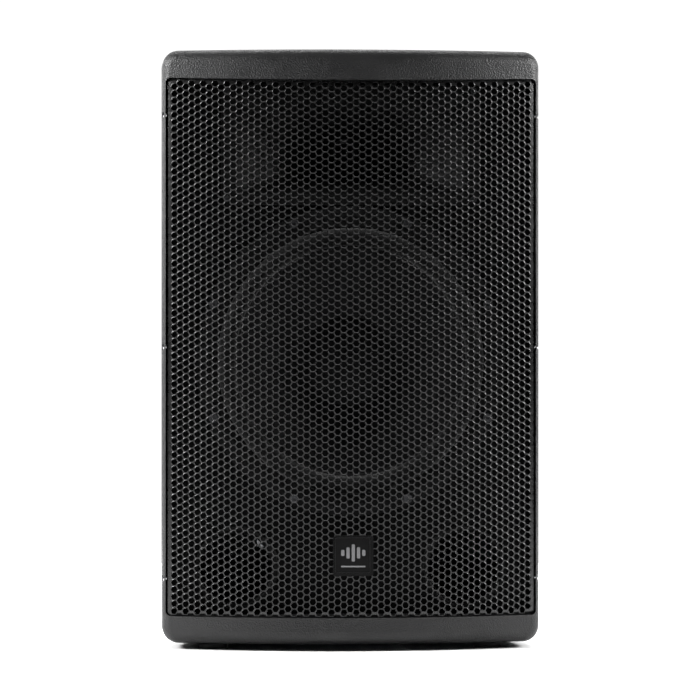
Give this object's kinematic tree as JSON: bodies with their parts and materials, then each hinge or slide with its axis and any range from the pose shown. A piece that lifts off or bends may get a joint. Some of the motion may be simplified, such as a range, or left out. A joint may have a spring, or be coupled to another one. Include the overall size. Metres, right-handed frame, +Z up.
{
  "type": "pa speaker cabinet",
  "caption": "Powered two-way PA loudspeaker: moulded cabinet, full perforated steel grille, twelve inch woofer, horn tweeter, ports, rear amplifier, handles and pole socket.",
  "frame": {"origin": "on the floor under the middle of the object's box", "axes": "+Z up, the grille faces -Y, +X to the viewer's right when facing the grille"},
  "size_m": [0.38, 0.35, 0.6],
  "materials": {
    "cabinet_plastic": "black moulded polypropylene, fine leather grain",
    "grille_steel": "black powder coat on perforated steel",
    "black_steel": "black zinc plated screws",
    "bright_steel": "plated steel",
    "foam": "closed cell foam seal",
    "rubber": "soft black rubber",
    "badge_black": "black badge plate",
    "badge_silver": "brushed emblem",
    "basket_metal": "black coated cast frame",
    "cone_paper": "pressed black paper cone",
    "surround_cloth": "coated cloth surround",
    "spider_cloth": "resin treated cloth",
    "coil_copper": "copper wire winding",
    "former_kapton": "amber polyimide",
    "ferrite": "sintered ferrite",
    "horn_plastic": "black moulded horn",
    "driver_paint": "black painted cover",
    "diaphragm_film": "thin titanium dome",
    "panel_paint": "black textured panel",
    "heatsink_black": "black anodised extrusion",
    "chassis_steel": "galvanised sheet",
    "knob_plastic": "soft black knob",
    "connector_black": "black connector moulding",
    "led_lens": "tinted lens",
    "board_green": "circuit board laminate and parts",
    "transformer_tape": "yellow winding tape",
    "brass": "machined brass insert",
    "lead_plastic": "insulated wire",
    "wadding": "polyester wadding"
  },
  "bodies": {
    "cabinet": {"front_shell": "cabinet_plastic", "rear_shell": "cabinet_plastic", "shell_seal": "foam", "shell_screws": "black_steel", "grille": "grille_steel", "grille_screws": "bright_steel", "badge_plate": "badge_black", "badge_emblem": "badge_silver", "gaskets": "foam", "woofer_basket": "basket_metal", "woofer_surround": "surround_cloth", "woofer_trim_ring": "foam", "woofer_spider": "spider_cloth", "woofer_front_plate": "bright_steel", "woofer_magnet": "ferrite", "woofer_pole_yoke": "bright_steel", "woofer_screws": "black_steel", "horn": "horn_plastic", "horn_screws": "black_steel", "driver_plate": "bright_steel", "driver_magnet": "ferrite", "driver_top_plate": "bright_steel", "driver_phase_plug": "connector_black", "driver_cover": "driver_paint", "driver_bolts": "bright_steel", "ports": "horn_plastic", "terminals": "brass", "speaker_leads": "lead_plastic", "amp_panel": "panel_paint", "heatsink": "heatsink_black", "amp_chassis": "chassis_steel", "pots": "connector_black", "input_jacks": "connector_black", "output_jack": "connector_black", "leds": "led_lens", "mains_inlet": "connector_black", "switch_frame": "connector_black", "amp_screws": "black_steel", "circuit_boards": "board_green", "transformer": "transformer_tape", "pole_socket": "cabinet_plastic", "rigging_inserts": "brass", "handles": "cabinet_plastic", "housing_screws": "black_steel", "feet": "rubber", "damping": "wadding"},
    "cone_assembly": {"woofer_cone": "cone_paper", "woofer_dust_cap": "cone_paper", "woofer_coil_former": "former_kapton", "woofer_voice_coil": "coil_copper"},
    "diaphragm": {"driver_diaphragm": "diaphragm_film"},
    "fuse_drawer_body": {"fuse_drawer": "connector_black"},
    "rocker": {"switch_rocker": "connector_black"},
    "latch_1": {"input_latch_1": "bright_steel"},
    "latch_2": {"input_latch_2": "bright_steel"},
    "knob_body_1": {"knob_1": "knob_plastic"},
    "knob_body_2": {"knob_2": "knob_plastic"},
    "knob_body_3": {"knob_3": "knob_plastic"},
    "knob_body_4": {"knob_4": "knob_plastic"},
    "knob_body_5": {"knob_5": "knob_plastic"}
  },
  "joints": [
    {"name": "woofer_stroke", "type": "slide", "parent": "cabinet", "child": "cone_assembly", "axis": [0, -1, 0], "range_m": [-0.005, 0.005], "stiffness_N_per_m": 2500},
    {"name": "diaphragm_stroke", "type": "slide", "parent": "cabinet", "child": "diaphragm", "axis": [0, -1, 0], "range_m": [-0.0004, 0.0004], "stiffness_N_per_m": 60},
    {"name": "knob_1_turn", "type": "hinge", "parent": "cabinet", "child": "knob_body_1", "pos_m": [0.076, 0.157, 0.369], "axis": [0, 1, 0], "range_deg": [-145, 145]},
    {"name": "knob_2_turn", "type": "hinge", "parent": "cabinet", "child": "knob_body_2", "pos_m": [0.038, 0.157, 0.369], "axis": [0, 1, 0], "range_deg": [-145, 145]},
    {"name": "knob_3_turn", "type": "hinge", "parent": "cabinet", "child": "knob_body_3", "pos_m": [0, 0.157, 0.369], "axis": [0, 1, 0], "range_deg": [-145, 145]},
    {"name": "knob_4_turn", "type": "hinge", "parent": "cabinet", "child": "knob_body_4", "pos_m": [-0.038, 0.157, 0.369], "axis": [0, 1, 0], "range_deg": [-145, 145]},
    {"name": "knob_5_turn", "type": "hinge", "parent": "cabinet", "child": "knob_body_5", "pos_m": [-0.076, 0.157, 0.369], "axis": [0, 1, 0], "range_deg": [-145, 145]},
    {"name": "latch_1_press", "type": "slide", "parent": "cabinet", "child": "latch_1", "axis": [0, -1, 0], "range_m": [0, 0.0012], "stiffness_N_per_m": 200},
    {"name": "latch_2_press", "type": "slide", "parent": "cabinet", "child": "latch_2", "axis": [0, -1, 0], "range_m": [0, 0.0012], "stiffness_N_per_m": 200},
    {"name": "fuse_drawer_slide", "type": "slide", "parent": "cabinet", "child": "fuse_drawer_body", "axis": [0, 1, 0], "range_m": [0, 0.014]},
    {"name": "rocker_tip", "type": "hinge", "parent": "cabinet", "child": "rocker", "pos_m": [-0.058, 0.153, 0.123], "axis": [-1, 0, 0], "range_deg": [0, 16]}
  ]
}
